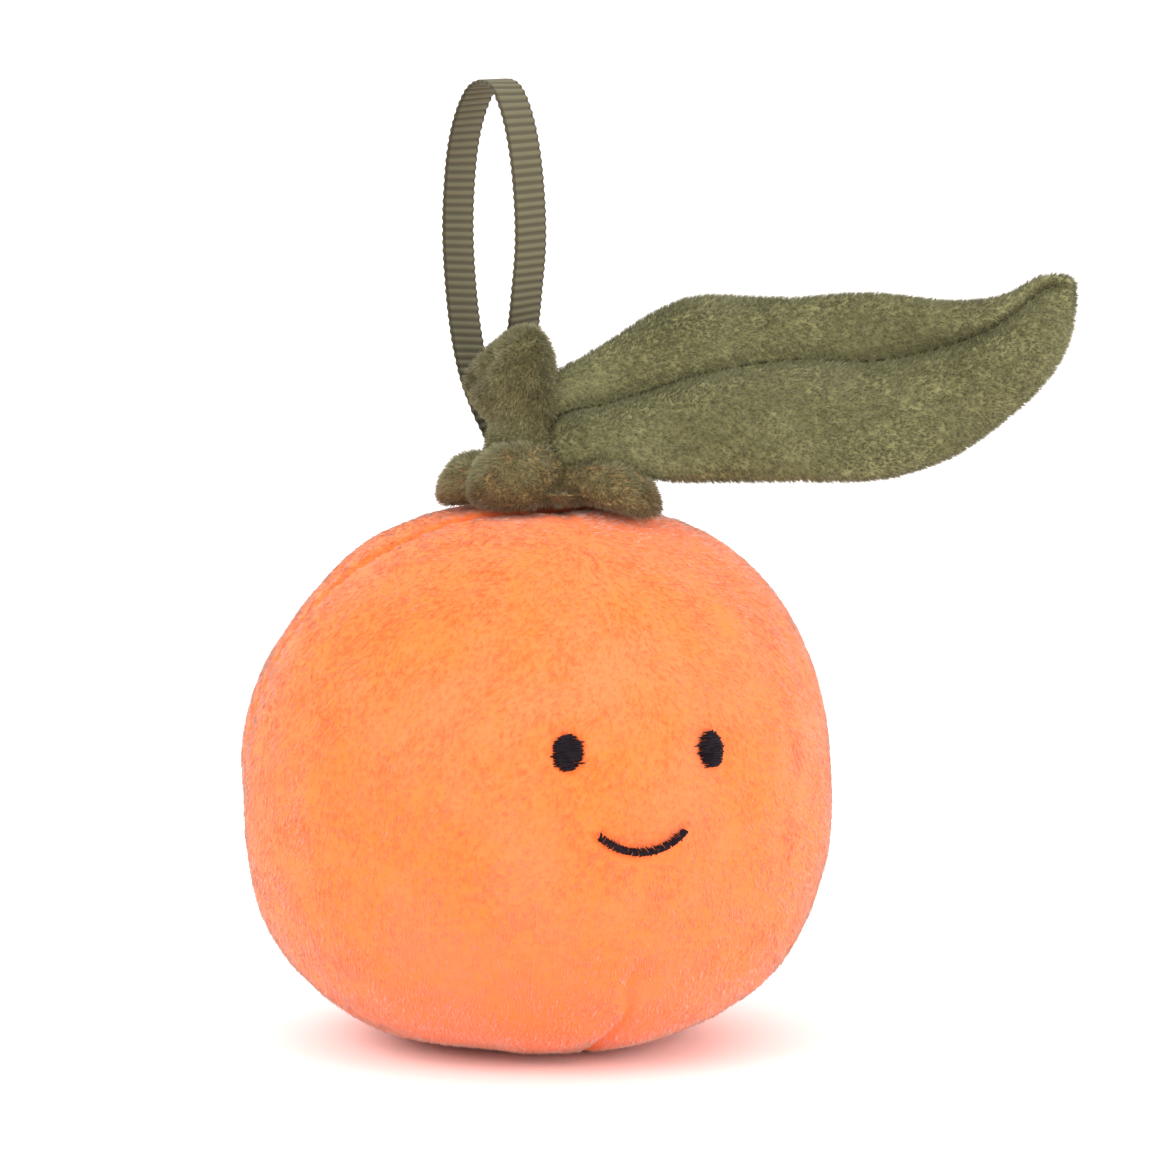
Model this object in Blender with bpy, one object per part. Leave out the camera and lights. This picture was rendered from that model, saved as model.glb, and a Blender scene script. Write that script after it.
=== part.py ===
# A stuffed plush mandarin with a calyx, a stem, a leaf, an embroidered face and a ribbon loop.
# Metres, +Z up. The origin is the middle of the flat spot that the toy stands on,
# and its face looks along -Y.

import math

import bmesh
import bpy
import numpy as np
from mathutils import Vector

# Body: a superellipse of revolution, rounder above its widest ring than below it.
BODY_WIDTH = 0.085
BODY_WAIST = 0.0378  # height of the widest ring
BODY_RISE = 0.0408  # from the widest ring up to the crown
BODY_DROP = 0.0386  # from the widest ring down to where the belly would close
CROWN_EXPONENT = 2.0
BELLY_EXPONENT = 2.5
SKIN_THICKNESS = 0.002
GAP = 0.0003  # between pieces that touch

# The seam between the two skin panels lies in a plane that leans back downwards.
SEAM_CROWN_Y = -0.004
SEAM_BASE_Y = 0.0235

# Face.
EYE_WIDTH = 0.0049
EYE_HEIGHT = 0.0052
EYE_TURN = math.radians(15.3)  # each eye's bearing from the face's middle
EYE_LEVEL = 0.0473
STITCH_RISE = 0.0008
SMILE_LEVEL = 0.0319  # the lowest point of the arc
SMILE_RADIUS = 0.0092
SMILE_HALF_ANGLE = math.radians(46.0)
SMILE_THICKNESS = 0.001

# The stem, leaf and calyx are set out in a frame turned about the body's axis.
SPRIG_TURN = math.radians(-22.0)
SIDE = Vector((math.cos(SPRIG_TURN), math.sin(SPRIG_TURN), 0))
BACK = Vector((-math.sin(SPRIG_TURN), math.cos(SPRIG_TURN), 0))

CALYX_CENTRE = 0.002  # along SIDE
CALYX_LOBES = 5
CALYX_TIP = 0.0165
CALYX_NOTCH = 0.0082
CALYX_MIDDLE = 0.0818  # height of the seam between the layers, at the centre
CALYX_DROOP = 5.5  # fall of that seam, per metre squared of radius
CALYX_HALF_THICKNESS = 0.003
CALYX_FIRST_LOBE = math.radians(-39.5)  # bearing from the face's middle

STEM_ROUTE = [(-0.0009, 0.0849), (-0.0015, 0.0880), (-0.0026, 0.0920), (-0.0038, 0.0970), (-0.0032, 0.1034)]
STEM_RADIUS = 0.0064
STEM_DOME = 0.0062  # length of the rounded end
STEM_SKIN = 0.0015

# Leaf stations along SIDE: distance, and the heights of the lower edge, vein and upper edge.
LEAF_STATIONS = [
    (0.0058, 0.0864, 0.0906, 0.0978),
    (0.0140, 0.0862, 0.0934, 0.1040),
    (0.0240, 0.0826, 0.0957, 0.1076),
    (0.0360, 0.0806, 0.0976, 0.1070),
    (0.0480, 0.0816, 0.0978, 0.1072),
    (0.0600, 0.0862, 0.1000, 0.1070),
    (0.0700, 0.0925, 0.1056, 0.1088),
    (0.0772, 0.1010, 0.1052, 0.1090),
]
LEAF_LEAN = math.radians(25.0)  # how far the blade leans back from upright
LEAF_HALF_THICKNESS = 0.0036
LEAF_EDGE = 0.0004  # each layer's height along the edge seam
VEIN_PINCH = 0.6  # share of the thickness that the stitched vein takes away
VEIN_PINCH_WIDTH = 0.0022
VEIN_THREAD = 0.0007

RIBBON_WIDTH = 0.0054
RIBBON_THICKNESS = 0.0008
# The middle of the band, by its distances along SIDE and BACK and its height: up behind
# the stem, over the top and down again on the nearer side.
RIBBON_ROUTE = [
    (-0.0052, 0.0092, 0.0858),
    (-0.0072, 0.0104, 0.0900),
    (-0.0090, 0.0128, 0.0950),
    (-0.0105, 0.0160, 0.1030),
    (-0.0113, 0.0184, 0.1140),
    (-0.0109, 0.0186, 0.1240),
    (-0.0098, 0.0170, 0.1310),
    (-0.0078, 0.0138, 0.1366),
    (-0.0058, 0.0105, 0.1384),
    (-0.0040, 0.0074, 0.1368),
    (-0.0023, 0.0051, 0.1312),
    (-0.0011, 0.0040, 0.1236),
    (-0.0007, 0.0042, 0.1145),
    (-0.0014, 0.0060, 0.1055),
    (-0.0021, 0.0086, 0.0985),
    (-0.0024, 0.0098, 0.0920),
    (-0.0026, 0.0100, 0.0858),
]
RIBBON_TURN = math.radians(-54.0)  # bearing of the loop's plane, from SIDE


def body_radius(z, inset=0.0):
    """Radius of the body's outline at a height, drawn in by the inset."""
    half_width = BODY_WIDTH / 2 - inset
    if z >= BODY_WAIST:
        reach, exponent = BODY_RISE - inset, CROWN_EXPONENT
    else:
        reach, exponent = BODY_DROP - inset, BELLY_EXPONENT
    share = min(abs(z - BODY_WAIST) / reach, 1.0)
    return half_width * (1 - share**exponent) ** (1 / exponent)


def body_point(turn, z, lift):
    """A point at a bearing from the face's middle, lifted off the skin along its normal."""
    step = 0.0002
    slope = (body_radius(z + step) - body_radius(z - step)) / (2 * step)
    normal = Vector((1, 0, -slope)).normalized()
    radius = body_radius(z) + lift * normal.x
    return Vector((radius * math.sin(turn), -radius * math.cos(turn), z + lift * normal.z))


def body_outline(inset, rings):
    """Points (radius, height) from the crown down to the middle of the flat spot."""
    top = BODY_WAIST + BODY_RISE - inset
    bottom = inset
    points = []
    for i in range(rings + 1):
        angle = math.pi * i / rings
        z = (top + bottom) / 2 + (top - bottom) / 2 * math.cos(angle)
        points.append((body_radius(z, inset), z))
    points[0] = (0.0, top)
    points.append((0.0, bottom))
    return points


def turned(bm, outline, segments, inward=False):
    """Spins an outline about Z into a closed surface, whose faces point out, or into it if inward."""
    others = set(bm.faces)
    verts = [bm.verts.new((radius, 0, z)) for radius, z in outline]
    edges = [bm.edges.new(pair) for pair in zip(verts, verts[1:])]
    bmesh.ops.spin(
        bm, geom=verts + edges, cent=(0, 0, 0), axis=(0, 0, 1), angle=2 * math.pi, steps=segments
    )
    bmesh.ops.remove_doubles(bm, verts=bm.verts, dist=1e-6)
    faces = [face for face in bm.faces if face not in others]
    bmesh.ops.recalc_face_normals(bm, faces=faces)
    if inward:
        bmesh.ops.reverse_faces(bm, faces=faces)


def finish(name, bm, material):
    """Makes one object of a mesh, with outward faces and smooth shading."""
    bmesh.ops.recalc_face_normals(bm, faces=bm.faces)
    mesh = bpy.data.meshes.new(name)
    bm.to_mesh(mesh)
    bm.free()
    mesh.shade_smooth()
    mesh.set_sharp_from_angle(angle=math.radians(40))
    mesh.materials.append(material)
    piece = bpy.data.objects.new(name, mesh)
    bpy.context.collection.objects.link(piece)
    return piece


def slab(name, lower, upper, material, wrap=False):
    """Joins two grids of points, one above the other, into a closed solid.

    With wrap, the second index runs all the way round and the first row is a ring round the middle.
    """
    bm = bmesh.new()
    rows, columns = len(lower), len(lower[0])
    sheets = [[[bm.verts.new(p) for p in row] for row in grid] for grid in (lower, upper)]
    steps = columns if wrap else columns - 1
    for sheet in sheets:
        for i in range(rows - 1):
            for j in range(steps):
                k = (j + 1) % columns
                bm.faces.new((sheet[i][j], sheet[i + 1][j], sheet[i + 1][k], sheet[i][k]))
        if wrap:
            bm.faces.new(sheet[0])
    rim = [(rows - 1, j) for j in range(columns)]
    if not wrap:
        rim += [(i, columns - 1) for i in range(rows - 2, -1, -1)]
        rim += [(0, j) for j in range(columns - 2, -1, -1)]
        rim += [(i, 0) for i in range(1, rows - 1)]
    low, high = sheets
    for (i, j), (m, n) in zip(rim, rim[1:] + rim[:1]):
        bm.faces.new((low[i][j], low[m][n], high[m][n], high[i][j]))
    return finish(name, bm, material)


def tube(name, points, radius, material, resolution=2):
    """A round thread along points, with filled ends."""
    curve = bpy.data.curves.new(name, "CURVE")
    curve.dimensions = "3D"
    curve.bevel_depth = radius
    curve.bevel_resolution = resolution
    curve.use_fill_caps = True
    spline = curve.splines.new("POLY")
    spline.points.add(len(points) - 1)
    for place, point in zip(spline.points, points):
        place.co = (*point, 1)
    curve.materials.append(material)
    piece = bpy.data.objects.new(name, curve)
    bpy.context.collection.objects.link(piece)
    return piece


def material_of(name, colour, roughness):
    """A Principled material with one colour, in linear values, and no metal."""
    material = bpy.data.materials.new(name)
    material.use_nodes = True
    shader = material.node_tree.nodes["Principled BSDF"]
    shader.inputs["Base Color"].default_value = (*colour, 1)
    shader.inputs["Roughness"].default_value = roughness
    shader.inputs["Metallic"].default_value = 0.0
    return material


def skin_panel(name, side, material):
    """One half of the hollow skin: side is -1 for the front and 1 for the back."""
    bm = bmesh.new()
    turned(bm, body_outline(0.0, 18), 40)
    turned(bm, body_outline(SKIN_THICKNESS, 12), 32, inward=True)
    crown = BODY_WAIST + BODY_RISE
    along = Vector((0, SEAM_CROWN_Y - SEAM_BASE_Y, crown)).normalized()
    normal = Vector((0, along.z, -along.y))
    place = Vector((0, SEAM_BASE_Y, 0)) + normal * (side * GAP / 2)
    bmesh.ops.bisect_plane(
        bm,
        geom=bm.verts[:] + bm.edges[:] + bm.faces[:],
        dist=1e-7,
        plane_co=place,
        plane_no=normal * side,
        clear_inner=True,
    )
    bmesh.ops.bridge_loops(bm, edges=[e for e in bm.edges if e.is_boundary])
    return finish(name, bm, material)


def filling(name, material):
    """The stuffing that fills the skin."""
    bm = bmesh.new()
    turned(bm, body_outline(SKIN_THICKNESS + GAP + 0.0004, 10), 24)
    return finish(name, bm, material)


def eye(name, turn, material):
    """An embroidered oval that follows the skin just above it."""
    rings = [0.25, 0.5, 0.75, 1.0]
    grids = []
    for base, crown in ((GAP, 0.0), (GAP, STITCH_RISE)):
        grid = []
        for ring in rings:
            row = []
            for j in range(20):
                angle = 2 * math.pi * j / 20
                across = ring * EYE_WIDTH / 2 * math.cos(angle)
                z = EYE_LEVEL + ring * EYE_HEIGHT / 2 * math.sin(angle)
                lift = base + crown * (1 - 0.5 * ring**2)
                row.append(body_point(turn + across / body_radius(z), z, lift))
            grid.append(row)
        grids.append(grid)
    return slab(name, grids[0], grids[1], material, wrap=True)


def smile(material):
    """A thread bundle along an arc of a circle on the skin."""
    points = []
    for i in range(15):
        angle = SMILE_HALF_ANGLE * (i / 7 - 1)
        across = SMILE_RADIUS * math.sin(angle)
        z = SMILE_LEVEL + SMILE_RADIUS * (1 - math.cos(angle))
        points.append(body_point(across / body_radius(z), z, GAP + SMILE_THICKNESS / 2))
    return tube("smile", points, SMILE_THICKNESS / 2, material)


def sprig_point(along, depth, z):
    """A point by its distances along SIDE and BACK from the body's axis, and its height."""
    return SIDE * along + BACK * depth + Vector((0, 0, z))


def calyx_layer(name, side, material):
    """Half of the five-lobed pillow: side is -1 below its seam and 1 above it."""
    centre = sprig_point(CALYX_CENTRE, 0, 0)
    rings = [0.15, 0.4, 0.62, 0.8, 0.93, 1.0]
    count = 50
    grids = []
    for share in (0.0, 1.0):
        grid = []
        for ring in rings:
            row = []
            for j in range(count):
                turn = 2 * math.pi * j / count
                wave = 0.5 + 0.5 * math.cos(CALYX_LOBES * (turn - CALYX_FIRST_LOBE))
                reach = CALYX_NOTCH + (CALYX_TIP - CALYX_NOTCH) * wave**0.7
                radius = ring * reach
                pinch = 1 - 0.45 * math.exp(-((radius / 0.005) ** 2))
                puff = CALYX_HALF_THICKNESS * math.sqrt(1 - ring**4) * pinch + 0.0003
                z = CALYX_MIDDLE - CALYX_DROOP * radius**2
                z += side * (GAP / 2 + share * puff)
                row.append(centre + Vector((radius * math.sin(turn), -radius * math.cos(turn), z)))
            grid.append(row)
        grids.append(grid)
    return slab(name, grids[0], grids[1], material, wrap=True)


def smooth_route(points, count):
    """Even steps along a Catmull-Rom curve through the points, of any number of coordinates."""
    knots = np.array(points)
    knots = np.vstack([2 * knots[0] - knots[1], knots, 2 * knots[-1] - knots[-2]])
    route = []
    for step in np.linspace(0, len(points) - 1, count):
        i = min(int(step), len(points) - 2)
        t = step - i
        a, b, c, d = knots[i : i + 4]
        route.append(
            0.5 * (2 * b + (c - a) * t + (2 * a - 5 * b + 4 * c - d) * t**2 + (3 * b - a - 3 * c + d) * t**3)
        )
    return np.array(route)


def stem_rings(inset, count, sides):
    """Rings up the leaning stem, closing in along a quarter circle at its end."""
    route = smooth_route(STEM_ROUTE, count)
    top = STEM_ROUTE[-1][1]
    rings = []
    for along, z in route:
        left = max(top - z, 0.0) / STEM_DOME
        close = math.sqrt(1 - (1 - min(left, 1.0)) ** 2)
        radius = STEM_RADIUS * max(close, 0.12) - inset
        if radius <= 0.0005:
            break
        ring = []
        for j in range(sides):
            angle = 2 * math.pi * j / sides
            ring.append(sprig_point(along + radius * math.cos(angle), radius * math.sin(angle), z))
        rings.append(ring)
    return rings


def skinned(bm, rings):
    """Quads between rings and a face on the last one; returns the vertices."""
    verts = [[bm.verts.new(p) for p in ring] for ring in rings]
    sides = len(rings[0])
    for low, high in zip(verts, verts[1:]):
        for j in range(sides):
            k = (j + 1) % sides
            bm.faces.new((low[j], low[k], high[k], high[j]))
    bm.faces.new(verts[-1])
    return verts


def stem_cover(material):
    """The plush tube of the stem, closed at its end and open at its foot."""
    bm = bmesh.new()
    outer = skinned(bm, stem_rings(0.0, 16, 20))
    inner = skinned(bm, stem_rings(STEM_SKIN, 16, 20))
    for j in range(20):
        k = (j + 1) % 20
        bm.faces.new((outer[0][j], outer[0][k], inner[0][k], inner[0][j]))
    return finish("stem_cover", bm, material)


def stem_filling(material):
    """The stuffing inside the stem."""
    bm = bmesh.new()
    rings = stem_rings(STEM_SKIN + GAP + 0.0002, 12, 12)
    verts = skinned(bm, rings[:-1])
    bm.faces.new(verts[0])
    return finish("stem_filling", bm, material)


def leaf_frame(s):
    """The vein's point, the half widths below and above it, and the pillow's swell, at s from 0 to 1."""
    span = len(LEAF_STATIONS) - 1
    stations = smooth_route(LEAF_STATIONS, 85)
    place = s * (len(stations) - 1)
    i = min(int(place), len(stations) - 2)
    along, low, vein, high = stations[i] + (stations[i + 1] - stations[i]) * (place - i)
    end = 1 - ((s * span - span + 1.2) / 1.2) ** 4 if s * span > span - 1.2 else 1.0
    foot = min(1.0, 0.55 + 0.45 * s * span / 1.5)
    cosine = math.cos(LEAF_LEAN)
    return along, vein, (vein - low) / cosine, (high - vein) / cosine, math.sqrt(max(end, 0.0)) * foot


def leaf_point(s, t, side, share):
    """A point of a layer: t runs from the lower edge at -1 to the upper edge at 1."""
    along, vein, below, above, swell = leaf_frame(s)
    reach = t * (above if t > 0 else below)
    pinch = 1 - VEIN_PINCH * math.exp(-((reach / VEIN_PINCH_WIDTH) ** 2))
    puff = LEAF_HALF_THICKNESS * swell * math.sqrt(max(1 - abs(t) ** 2.6, 0.0)) * pinch + LEAF_EDGE
    lift = side * (GAP / 2 + share * puff)
    across = BACK * math.sin(LEAF_LEAN) + Vector((0, 0, math.cos(LEAF_LEAN)))
    normal = -BACK * math.cos(LEAF_LEAN) + Vector((0, 0, math.sin(LEAF_LEAN)))
    return sprig_point(along, 0, vein) + across * reach + normal * lift


def leaf_layer(name, side, material):
    """One layer of the stuffed leaf: side is 1 for the face and -1 for the underside."""
    across = [-1, -0.93, -0.8, -0.6, -0.38, -0.18, 0, 0.22, 0.48, 0.72, 0.9, 1]
    grids = []
    for share in (0.0, 1.0):
        grids.append([[leaf_point(i / 20, t, side, share) for t in across] for i in range(21)])
    return slab(name, grids[0], grids[1], material)


def vein_stitches(material):
    """The stitching thread along the groove of the vein."""
    normal = -BACK * math.cos(LEAF_LEAN) + Vector((0, 0, math.sin(LEAF_LEAN)))
    points = []
    for i in range(22):
        s = 0.03 + 0.9 * i / 21
        points.append(leaf_point(s, 0, 1, 1.0) + normal * (GAP + VEIN_THREAD / 2))
    return tube("leaf_vein_stitches", points, VEIN_THREAD / 2, material, resolution=1)


def ribbon_loop(material):
    """A flat band along its route, with both ends on the calyx behind the stem."""
    out = SIDE * math.cos(RIBBON_TURN) + BACK * math.sin(RIBBON_TURN)
    flat = Vector((0, 0, 1)).cross(out)
    path = [sprig_point(*point) for point in smooth_route(RIBBON_ROUTE, 45)]
    grids = [[], []]
    for i, point in enumerate(path):
        along = path[min(i + 1, len(path) - 1)] - path[max(i - 1, 0)]
        normal = flat.cross(along).normalized()
        width = along.cross(normal).normalized()
        for grid, lift in zip(grids, (-0.5, 0.5)):
            middle = point + normal * (RIBBON_THICKNESS * lift)
            grid.append([middle + width * (RIBBON_WIDTH * w) for w in (-0.5, 0.5)])
    return slab("ribbon_loop", grids[0], grids[1], material)


def main():
    for old in list(bpy.data.objects):
        bpy.data.objects.remove(old)

    orange = material_of("orange_plush", (0.95, 0.30, 0.09), 0.9)
    green = material_of("green_plush", (0.22, 0.20, 0.09), 0.9)
    fibre = material_of("polyester_fibre", (0.85, 0.84, 0.80), 0.9)
    dark = material_of("dark_thread", (0.02, 0.014, 0.02), 0.5)
    olive = material_of("olive_thread", (0.10, 0.09, 0.04), 0.6)
    band = material_of("olive_ribbon", (0.18, 0.16, 0.09), 0.6)

    skin_panel("front_panel", -1, orange)
    skin_panel("back_panel", 1, orange.copy())
    filling("body_filling", fibre)
    eye("left_eye", -EYE_TURN, dark)
    eye("right_eye", EYE_TURN, dark.copy())
    smile(dark.copy())
    calyx_layer("calyx_lower", -1, green)
    calyx_layer("calyx_upper", 1, green.copy())
    stem_cover(green.copy())
    stem_filling(fibre.copy())
    leaf_layer("leaf_upper", 1, green.copy())
    leaf_layer("leaf_lower", -1, green.copy())
    vein_stitches(olive)
    ribbon_loop(band)


main()
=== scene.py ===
import math

import bpy
import numpy as np
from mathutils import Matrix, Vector


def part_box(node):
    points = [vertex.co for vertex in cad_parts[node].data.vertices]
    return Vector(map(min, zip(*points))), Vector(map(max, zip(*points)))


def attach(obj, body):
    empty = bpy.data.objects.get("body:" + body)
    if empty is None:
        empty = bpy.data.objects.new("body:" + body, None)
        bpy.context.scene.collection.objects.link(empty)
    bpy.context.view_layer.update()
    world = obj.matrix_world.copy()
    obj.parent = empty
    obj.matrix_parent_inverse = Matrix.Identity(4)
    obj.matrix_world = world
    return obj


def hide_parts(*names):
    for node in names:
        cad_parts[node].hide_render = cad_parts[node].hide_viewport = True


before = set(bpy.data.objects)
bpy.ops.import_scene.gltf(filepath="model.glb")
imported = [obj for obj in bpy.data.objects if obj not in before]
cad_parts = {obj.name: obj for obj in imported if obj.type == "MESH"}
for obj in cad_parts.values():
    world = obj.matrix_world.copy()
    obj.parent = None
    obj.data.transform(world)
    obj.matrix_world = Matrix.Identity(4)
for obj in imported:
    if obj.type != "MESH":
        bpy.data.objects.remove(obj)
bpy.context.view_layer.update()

# The leaf, stem and calyx are set out along three directions: sideways the way the leaf grows,
# away to the back, and up. The camera looks along the second one, from a little above.
sprig = {"turn": -22.0, "cameraHeight": 7.5, "cameraDistance": 0.92, "pictureWidth": 0.166}
sprigTurn = math.radians(sprig["turn"])
side = np.array([math.cos(sprigTurn), math.sin(sprigTurn), 0.0])
back = np.array([-math.sin(sprigTurn), math.cos(sprigTurn), 0.0])
up = np.array([0.0, 0.0, 1.0])


def toRow(along, depth, height):
    # distances sideways, away and up, turned into points
    along, depth, height = np.broadcast_arrays(along, depth, height)
    return along[..., None] * side + depth[..., None] * back + height[..., None] * up


def unit(v):
    return v / np.maximum(np.linalg.norm(v, axis=-1, keepdims=True), 1e-12)


def waves(points, size, seed, count=14):
    # soft noise between about -1 and 1: a sum of sine waves of one length in random directions
    draw = np.random.default_rng(seed)
    heading = unit(draw.normal(size=(count, 3))) * (2 * math.pi / size) * draw.uniform(0.7, 1.3, (count, 1))
    phase = draw.uniform(0, 2 * math.pi, count)
    return np.sin(points @ heading.T + phase).sum(-1) / math.sqrt(count)


def smoothRoute(knots, count):
    # even steps along a Catmull-Rom curve through the knots, whose rows may hold any quantities
    knots = np.array(knots, float)
    ends = np.vstack([2 * knots[0] - knots[1], knots, 2 * knots[-1] - knots[-2]])
    place = np.linspace(0, len(knots) - 1, count)
    first = np.minimum(place.astype(int), len(knots) - 2)
    t = (place - first)[:, None]
    a, b, c, d = (ends[first + k] for k in range(4))
    bend = 2 * a - 5 * b + 4 * c - d
    return 0.5 * (2 * b + (c - a) * t + bend * t**2 + (3 * b - a - 3 * c + d) * t**3)


def fullTurn(count):
    # angles evenly spaced round a circle
    return 2 * math.pi * np.arange(count) / count


def gridFaces(rows, columns):
    # quads of a grid whose columns run round
    i = np.arange(rows - 1)[:, None] * columns
    j = np.arange(columns)
    k = (j + 1) % columns
    quads = np.stack([i + j, i + k, i + columns + k, i + columns + j], -1)
    return quads.reshape(-1, 4)


def ringFaces(rows, columns):
    # a closed surface: rings from grid rows, with one pole vertex before the first and after the last
    quads = gridFaces(rows, columns) + 1
    j = np.arange(columns)
    k = (j + 1) % columns
    first = np.stack([np.zeros(columns, int), k + 1, j + 1], -1)
    base = 1 + (rows - 1) * columns
    last = np.stack([np.full(columns, 1 + rows * columns), base + j, base + k], -1)
    return quads, np.vstack([first, last])


def makePiece(name, points, quads, triangles=None, material=None):
    # faces are turned over where the volume they enclose comes out negative
    points = np.asarray(points, float).reshape(-1, 3)
    halves = [quads[:, :3], quads[:, [0, 2, 3]]] if quads.shape[1] == 4 else [quads]
    halves += [] if triangles is None else [triangles]
    corner = (points - points.mean(0))[np.vstack(halves)]
    if (corner[:, 0] * np.cross(corner[:, 1], corner[:, 2])).sum() < 0:
        quads, triangles = quads[:, ::-1], None if triangles is None else triangles[:, ::-1]
    faces = quads.tolist() + ([] if triangles is None else triangles.tolist())
    mesh = bpy.data.meshes.new(name)
    mesh.from_pydata(points.tolist(), [], faces)
    mesh.update()
    mesh.shade_smooth()
    piece = bpy.data.objects.new(name, mesh)
    bpy.context.collection.objects.link(piece)
    if material:
        mesh.materials.append(material)
    return piece


def closedPiece(name, rings, material, ends=None):
    # rings: rows x columns x 3; ends are the pole points, which are otherwise the end rings' middles
    first, last = ends if ends is not None else (rings[0].mean(0), rings[-1].mean(0))
    quads, caps = ringFaces(*rings.shape[:2])
    points = np.vstack([first, rings.reshape(-1, 3), last])
    return makePiece(name, points, quads, caps, material)


def pointsOf(mesh):
    points = np.empty(len(mesh.vertices) * 3)
    mesh.vertices.foreach_get("co", points)
    return points.reshape(-1, 3)


def inflate(piece, held, poles, pressure, cap, frames, scale=10.0):
    # a stuffed form swells under pressure with its seams held, worked out ten times life size,
    # and no point moves further than the cap; held is by ring and column, poles for the two ends
    held = np.concatenate([[poles[0]], held.ravel(), [poles[1]]])
    mesh = piece.data
    start = pointsOf(mesh)
    mesh.vertices.foreach_set("co", (start * scale).ravel())
    group = piece.vertex_groups.new(name="held")
    for weight in np.unique(held[held > 0]):
        group.add(np.flatnonzero(held == weight).tolist(), float(weight), "REPLACE")
    cloth = piece.modifiers.new("swell", "CLOTH")
    cloth.settings.use_pressure = True
    cloth.settings.uniform_pressure_force = pressure
    cloth.settings.vertex_group_mass = "held"
    cloth.settings.tension_stiffness = 25
    cloth.settings.compression_stiffness = 25
    cloth.settings.bending_stiffness = 1.5
    cloth.settings.effector_weights.gravity = 0
    cloth.collision_settings.use_collision = False
    scene = bpy.context.scene
    for step in range(1, frames + 1):
        scene.frame_set(step)
    done = piece.evaluated_get(bpy.context.evaluated_depsgraph_get()).to_mesh()
    moved = pointsOf(done) / scale - start
    piece.to_mesh_clear()
    piece.modifiers.remove(cloth)
    piece.vertex_groups.clear()
    scene.frame_set(1)
    length = np.linalg.norm(moved, axis=1, keepdims=True)
    moved *= np.minimum(1.0, cap / np.maximum(length, 1e-9))
    mesh.vertices.foreach_set("co", (start + moved).ravel())
    mesh.update()
    print("swelled", piece.name, "by up to", round(float(length.max()) * 1000, 2), "mm", flush=True)


def surfaceOf(pieces):
    # corners and corner normals of all the pieces' triangles
    points, normals = [], []
    for piece in pieces:
        mesh = piece.data
        mesh.calc_loop_triangles()
        corners = np.empty(len(mesh.loop_triangles) * 3, np.int64)
        mesh.loop_triangles.foreach_get("vertices", corners)
        direction = np.empty(len(mesh.vertices) * 3)
        mesh.vertices.foreach_get("normal", direction)
        points.append(pointsOf(mesh)[corners.reshape(-1, 3)])
        normals.append(direction.reshape(-1, 3)[corners.reshape(-1, 3)])
    return np.vstack(points), np.vstack(normals)


def scatter(pieces, count, seed):
    # even random places on the surfaces, with their normals
    points, normals = surfaceOf(pieces)
    area = np.linalg.norm(np.cross(points[:, 1] - points[:, 0], points[:, 2] - points[:, 0]), axis=1)
    draw = np.random.default_rng(seed)
    chosen = draw.choice(len(area), size=count, p=area / area.sum())
    a, b = draw.random((2, count, 1))
    a, b = np.where(a + b > 1, 1 - a, a), np.where(a + b > 1, 1 - b, b)
    mix = [1 - a - b, a, b]
    place = sum(points[chosen, k] * mix[k] for k in range(3))
    normal = unit(sum(normals[chosen, k] * mix[k] for k in range(3)))
    return place, normal


def growPile(names, roots, normals, comb, look, material, seed):
    # a pile of fine closed spikes: each has a three-cornered root under the cloth, flat side out,
    # and one tip. Its direction is the surface normal leaned over towards the comb direction.
    draw = np.random.default_rng(seed)
    count = len(roots)
    tangent = unit(comb - normals * (comb * normals).sum(-1, keepdims=True))
    across = np.cross(normals, tangent)
    sway = waves(roots, look["swirlSize"], seed + 1) * look["swirl"] + draw.normal(0, look["stray"], count)
    tangent = tangent * np.cos(sway)[:, None] + across * np.sin(sway)[:, None]
    patches = waves(roots, look["patchSize"], seed + 2)
    rise = look["rise"] * (1 + 0.15 * patches) + draw.normal(0, look["uneven"], count)
    heading = unit(normals * np.clip(rise, 0.12, 4.0)[:, None] + tangent)
    length = look["length"] * draw.uniform(0.7, 1.2, count)[:, None]
    width = look["width"] * draw.uniform(0.75, 1.25, count)[:, None]
    right = unit(np.cross(heading, normals))
    over = np.cross(right, heading)
    foot = roots - normals * look["sink"]
    corner = [foot + width * (math.cos(a) * right + math.sin(a) * over) for a in np.radians([-90, 30, 150])]
    tip = foot + heading * length - normals * length * look["droop"]
    points = np.stack(corner + [tip], 1)
    points[..., 2] = np.maximum(points[..., 2], 0.00005)
    lit = unit(normals + heading * look["sparkle"] + draw.normal(0, look["glint"], (count, 3)))
    # the flat map: one half for spikes that face forward and one for the others, each laid out
    # sideways and upwards at true scale with a spike's own small outline on it
    low, high = roots.min(0), roots.max(0)
    spread = float(np.abs(roots @ side).max() + np.abs(low[2] - high[2])) * 1.1
    place = np.stack([(roots @ side - (roots @ side).min()) / spread, (roots[:, 2] - low[2]) / spread], -1)
    place = place * [0.47, 0.94] + 0.02 + 0.49 * (normals @ back > 0)[:, None] * [1, 0]
    outline = np.array([[0, -0.3], [1, 0.0], [-1, 0.0], [0, 6.0]]) * look["width"] * 1.4 / spread
    layout = place[:, None] + outline
    spike = np.array([[0, 1, 3], [1, 2, 3], [2, 0, 3], [0, 2, 1]])
    pieces = []
    for k, name in enumerate(names):
        part = slice(k, None, len(names))
        faces = (np.arange(len(points[part]))[:, None, None] * 4 + spike).reshape(-1, 3)
        piece = makePiece(name, points[part], faces, None, material)
        layFlat(piece, layout[part].reshape(-1, 2))
        along = np.zeros((len(points[part]), 4), np.float32)
        along[:, 3] = draw.uniform(look["dull"], 1.0, len(along))
        measure = piece.data.attributes.new("along", "FLOAT", "POINT")
        measure.data.foreach_set("value", along.ravel())
        piece.data.normals_split_custom_set_from_vertices(np.repeat(lit[part], 4, axis=0).tolist())
        pieces.append(piece)
    print("grew", count, "spikes for", names[0], flush=True)
    return pieces


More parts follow.
